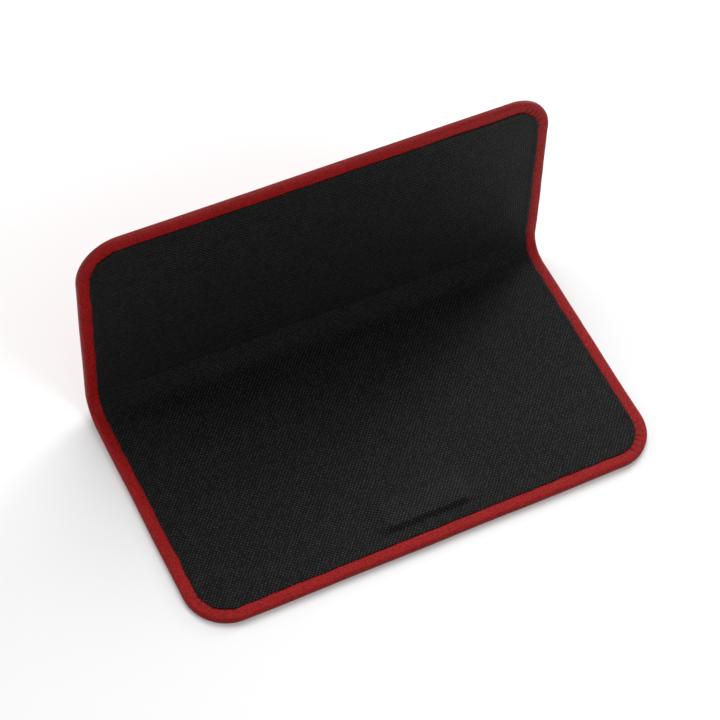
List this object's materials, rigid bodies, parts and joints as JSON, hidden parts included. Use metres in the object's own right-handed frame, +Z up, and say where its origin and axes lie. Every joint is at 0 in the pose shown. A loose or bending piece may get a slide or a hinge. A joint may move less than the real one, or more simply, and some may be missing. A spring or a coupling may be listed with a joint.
{
  "type": "folding eyeglasses case",
  "caption": "Folding eyeglasses case standing open: a flat lined base and a lined lid joined by a soft spine strip, with a turned-in border all round and a magnet mound near the front edge",
  "frame": {"origin": "centre of the base panel's underside, on the surface it rests on, midway between its sides and between its front edge and the start of the spine strip", "axes": "+X along the folds, the long way of the case; +Y from the front edge towards the fold and the lid; +Z up"},
  "size_m": [0.16, 0.0982, 0.0696],
  "materials": {
    "leatherette": "matt fine grain",
    "woven_cloth": "plain weave, a little askew",
    "greyboard": "bare board",
    "foam": "soft padding",
    "bare_metal": "plated"
  },
  "bodies": {
    "base": {"base_cover": "leatherette", "base_board": "greyboard", "base_padding": "foam", "base_magnet": "bare_metal", "base_lining": "woven_cloth"},
    "spine": {"spine_cover": "leatherette", "spine_padding": "foam", "spine_lining": "woven_cloth"},
    "lid": {"lid_cover": "leatherette", "lid_board": "greyboard", "lid_padding": "foam", "lid_keeper": "bare_metal", "lid_lining": "woven_cloth"}
  },
  "joints": [
    {"name": "base_fold", "type": "hinge", "parent": "base", "child": "spine", "pos_m": [0, 0.038, 0.00208], "axis": [1, 0, 0], "range_deg": [0, 95.9]},
    {"name": "lid_fold", "type": "hinge", "parent": "spine", "child": "lid", "pos_m": [0, 0.054, 0.00175], "axis": [1, 0, 0], "range_deg": [-80.2, 15.7]}
  ]
}
